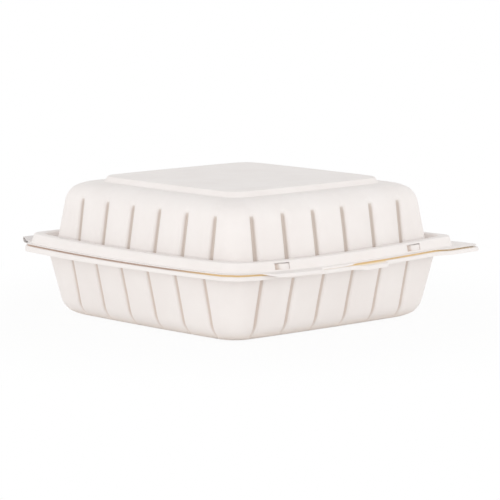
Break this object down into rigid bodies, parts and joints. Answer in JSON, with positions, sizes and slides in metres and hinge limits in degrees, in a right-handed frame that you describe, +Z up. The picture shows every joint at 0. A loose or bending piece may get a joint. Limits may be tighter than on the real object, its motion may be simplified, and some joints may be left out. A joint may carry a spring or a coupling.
{
  "type": "plastic clamshell container",
  "caption": "Square hinged takeaway container: ribbed tray with a domed ribbed lid, nested rim, front thumb tabs, snap latches and a living hinge.",
  "frame": {"origin": "on the table under the middle of the tray's base", "axes": "+Z up, -Y towards the opening side with the thumb tabs and latches, +Y towards the hinge"},
  "size_m": [0.198, 0.2011, 0.082],
  "materials": {
    "moulded_plastic": "thermoformed filled polypropylene, off-white, satin matte, a little translucent in thin gaps",
    "hinge_film": "thinned off-white polypropylene film, slightly stress whitened along the fold"
  },
  "bodies": {
    "tray": {"tray": "moulded_plastic", "living_hinge": "hinge_film"},
    "lid": {"lid": "moulded_plastic"}
  },
  "joints": [
    {"name": "lid_hinge", "type": "hinge", "parent": "tray", "child": "lid", "pos_m": [0, 0.0992, 0.0442], "axis": [-1, 0, 0], "range_deg": [0, 180]}
  ]
}
